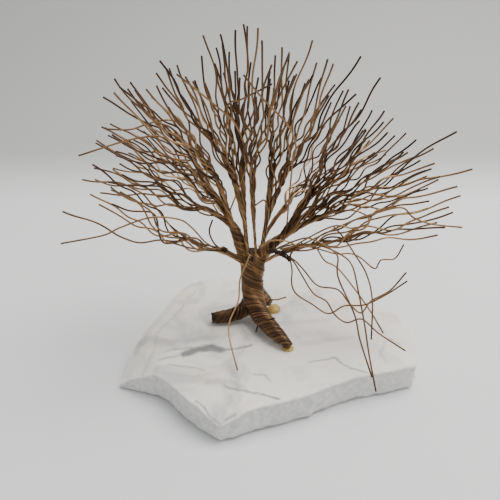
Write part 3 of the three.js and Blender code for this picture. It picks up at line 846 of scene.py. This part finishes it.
# A wanderer leaves its rope at a share of the rope's length and goes through these points.
WANDERERS = [
    {"rope": "low_left", "share": 0.1, "through": [(-27, -12, 76), (-34, -17, 88), (-41, -20, 95),
        (-56, -24, 98), (-72, -28, 94), (-82, -30, 90), (-105, -32, 86)]},
    {"rope": "left_up", "share": 0.4, "through": [(-33, 4, 122), (-37, 4, 138), (-44, 2, 145),
        (-56, 0, 144), (-67, -2, 141), (-80, -4, 142)]},
    {"rope": "left_out", "share": 0.3, "through": [(-33, -3, 116), (-41, -6, 133), (-50, -8, 139),
        (-60, -10, 139), (-71, -12, 137), (-93, -16, 131)]},
    {"rope": "upper_left", "share": 0.2, "through": [(-3, -8, 122), (-4, -14, 136), (-8, -19, 148),
        (-14, -22, 156), (-36, -30, 177)]},
    {"rope": "fan_left", "share": 0.3, "through": [(-11, -2, 128), (-13, -6, 152), (-11, -9, 158),
        (-6, -12, 160), (10, -20, 170)]},
    {"rope": "top", "share": 0.2, "through": [(7, -7, 101), (8.5, -7, 96), (8, -6.5, 90)]},
    {"rope": "upper_right", "share": 0.2, "through": [(22, -12, 121), (23, -20, 138), (18, -26, 151),
        (5, -32, 166), (-4, -36, 178)]},
    {"rope": "right_low", "share": 0.1, "through": [(44, -20, 90), (56, -25, 92), (64, -27, 96),
        (62, -27, 101), (54, -25, 103), (46, -22, 99)]},
    {"rope": "right_low", "share": 0.3, "through": [(54, -22, 94), (66, -24, 100), (81, -26, 105),
        (88, -28, 100), (98, -30, 97), (114, -32, 96)]},
]

for name in dict.fromkeys(bough["limb"] for bough in BOUGHS.values()):
    boughs = [key for key, bough in BOUGHS.items() if bough["limb"] == name]
    wires = [wire for key in boughs for wire in crown[key]]
    limb = [(points[split - 1:], 0.02 + 0.62 * own_tone, 1.08, 0.0) for points, split, own_tone in wires]
    for wanderer in WANDERERS:
        rope = ROPES[wanderer["rope"]]
        if rope["bough"] in boughs:
            start = along(rope_points(rope), wanderer["share"])
            limb.append((curve_through([start, *wanderer["through"]], 1.2), 0.45, 1.0, 0.0))
    piece = draw_wires(f"{name}_wires", limb, bronze)
    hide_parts(f"{name}_limb")


# --- The ties -------------------------------------------------------------------------------
# Three wires that come off the low left bough are held together by a small knot of wire, and
# part past it. At the right a short stub of three twisted wires holds the first drooping ones.

KNOT_ROUTE = [(-6.2, -5, 61.5), (-11, -7.4, 65), (-15.4, -8.6, 68.6), (-17.4, -9.2, 70.2)]
TIED_ENDS = [[(-22, -10, 74), (-25, -8, 81), (-23, -6, 88)], [(-24, -11, 73), (-36, -13, 78), (-47, -14, 88)],
             [(-23, -12, 71.5), (-34, -15, 73.5), (-46, -18, 79)]]
KNOT_TURN = 0.9              # length of one turn of the wire round the knot
KNOT_RADIUS = 1.35

knot_axis = curve_through(KNOT_ROUTE[2:], 0.06)
knot_line = wind(knot_axis, KNOT_TURN, [lambda so_far, whole: (KNOT_RADIUS, 0.1)])[0]
tie_wires = [(knot_line, -0.1, 1.0, 0.0)]
for number, ends in enumerate(TIED_ENDS):
    beside = [Vector(p) + Vector((0, 0.3 * number, 0.5 * number - 0.5)) for p in KNOT_ROUTE]
    tie_wires.append((curve_through([*beside, *ends], 0.9), 0.1 + 0.1 * number, 1.05, 3.0))
tie = draw_wires("left_tie_wire", tie_wires, bronze)
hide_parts("left_tie")

STUB_ROUTE = [(9.5, -6.5, 66.5), (13.4, -9, 68.6), (16.4, -9.6, 67.6), (20, -10.2, 66), (23.5, -11, 64)]
STUB_TURN = 7.5
STUB_STRANDS = 3
LONG_END = [(22.6, -10.8, 64.6), (24.2, -10.8, 69), (30, -11, 75)]
SHORT_ENDS = [[(21, -10.4, 65.5), (22.4, -11.4, 62.6)], [(17, -9.6, 67.4), (18.6, -10, 69.6)]]

stub_places = [lambda so_far, whole, k=k: (1.0, k / STUB_STRANDS) for k in range(STUB_STRANDS)]
stub_wires = [(line, 0.0, 1.2, 0.0) for line in wind(curve_through(STUB_ROUTE, 0.25), STUB_TURN, stub_places)]
stub_wires.append((curve_through(LONG_END, 0.6), 0.05, 1.1, 3.0))
stub_wires += [(curve_through(route, 0.4), -0.1, 1.0, 0.0) for route in SHORT_ENDS]
stub = draw_wires("tied_stub_wires", stub_wires, bronze)
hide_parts("tied_stub")


# --- The wires that hang free -----------------------------------------------------------------
# Single wires that have come out of the crown and droop over the slab, each bent by hand. Two of
# them have rubbed to a brighter gold.

HANGING_WIRES = {
    "front_wire": [(-1.2, -8.8, 66), (-3.4, -10.2, 60), (-7, -16, 53), (-8, -24, 43), (-13, -34, 35),
        (-13, -42, 29), (-8, -62, 22)],
    "drooping_wire_1": [(23, -11, 64.4), (24.2, -14, 58), (24, -18, 51), (27, -20, 45), (36, -23, 40),
        (46, -26, 35), (55, -28, 42), (66, -30, 44), (77, -32, 52), (88, -34, 63)],
    "drooping_wire_2": [(23, -10.8, 64.6), (26, -10.6, 61), (31, -11, 52), (38, -13, 41), (46, -16, 37),
        (51, -20, 30), (58, -24, 27), (66, -29, 33), (75, -36, 28), (88, -50, 26)],
    "drooping_wire_3": [(22.6, -11.4, 65.4), (26, -13.6, 64.4), (31, -17, 60), (39, -23, 53), (50, -29, 54),
        (57, -34, 47), (63, -38, 44), (67, -41, 54), (76, -44, 63), (83, -46, 76)],
    "drooping_wire_4": [(4, -8, 71), (11, -10, 76), (20, -12, 77), (28, -13, 74), (37, -14, 74),
        (43, -16, 66), (52, -19, 61), (69, -26, 40), (79, -32, 25)],
    "drooping_wire_5": [(16, -10, 71.5), (26, -15, 79), (33, -20, 83), (42, -24, 80), (48, -30, 77),
        (48, -38, 68), (57, -48, 50), (60, -56, 38), (66, -68, 22)],
    "drooping_wire_6": [(17, -10.5, 70.5), (27, -16, 76), (38, -22, 79.5), (50, -28, 77), (56, -34, 73),
        (59, -42, 62), (62, -54, 47), (64, -64, 34), (67, -76, 19)],
    "drooping_wire_7": [(47, -16, 88), (52, -17, 83), (60, -20, 72), (67, -24, 61), (71, -28, 46),
        (71, -37, 24)],
    "drooping_wire_8": [(14, -7.5, 69), (26, -8, 72.5), (38, -8, 70), (51, -6, 65), (60, -4, 64),
        (67, -2, 60), (77, 0, 51), (81, 2, 56), (90, 4, 56), (95, 6, 65)],
}

BRIGHT_WIRES = ("front_wire", "drooping_wire_4")

for name, route in HANGING_WIRES.items():
    own_tone = 0.62 if name in BRIGHT_WIRES else 0.35
    wire = draw_wires(f"{name}_drawn", [(curve_through(route, 1.0), own_tone, 1.0, 0.0)], bronze)
    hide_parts(name)


# --- The glue -----------------------------------------------------------------------------------
# Hot glue that has set to cloudy amber holds the tree to the slab: one drop under the tip of the
# front root and one under the back root.

amber, amber_inputs, add = new_material("amber_glue")
haze = add_noise(add, 260)
feed(amber_inputs["Base Color"],
     add_ramp(add, haze.outputs["Fac"], (0.0, (0.60, 0.38, 0.07)), (1.0, (0.86, 0.66, 0.22))))
feed(amber_inputs["Roughness"], 0.25)
feed(amber_inputs["Transmission Weight"], 0.35)

# Each drop is the middle of its foot, and its three radii.
GLUE_DROPS = {"front_glue": ((21.6, -38.0), (3.6, 3.2, 1.5)), "back_glue": ((14.6, 2.6), (4.6, 4.8, 3.4))}
DROP_SIDES = 40
DROP_RINGS = 13
DROP_FOOT = SLAB_TOP + 0.1


def glue_drop(middle, radii):
    """The vertices and faces of half an egg with a lumpy outline."""
    cx, cy = middle
    rx, ry, rz = radii
    vertices = [(cx, cy, DROP_FOOT)]
    for ring in range(DROP_RINGS):
        rise = math.radians(90 * ring / DROP_RINGS)
        for k in range(DROP_SIDES):
            turn = 2 * math.pi * k / DROP_SIDES
            swell = 1 + 0.14 * rough(cx + 4 * math.cos(turn), cy + 4 * math.sin(turn), 2, 4)
            vertices.append((cx + rx * swell * math.cos(rise) * math.cos(turn),
                             cy + ry * swell * math.cos(rise) * math.sin(turn),
                             DROP_FOOT + rz * math.sin(rise)))
    vertices.append((cx, cy, DROP_FOOT + rz))
    faces = []
    for k in range(DROP_SIDES):
        after = (k + 1) % DROP_SIDES
        strip = [1 + ring * DROP_SIDES for ring in range(DROP_RINGS)]
        faces.append((0, 1 + after, 1 + k))
        faces += [(low + k, low + after, high + after, high + k) for low, high in zip(strip, strip[1:])]
        faces.append((strip[-1] + k, strip[-1] + after, len(vertices) - 1))
    return vertices, faces


for name, (middle, radii) in GLUE_DROPS.items():
    drop = new_piece(f"{name}_drop", *glue_drop(middle, radii), amber)
    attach(drop, "root")
    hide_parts(name)
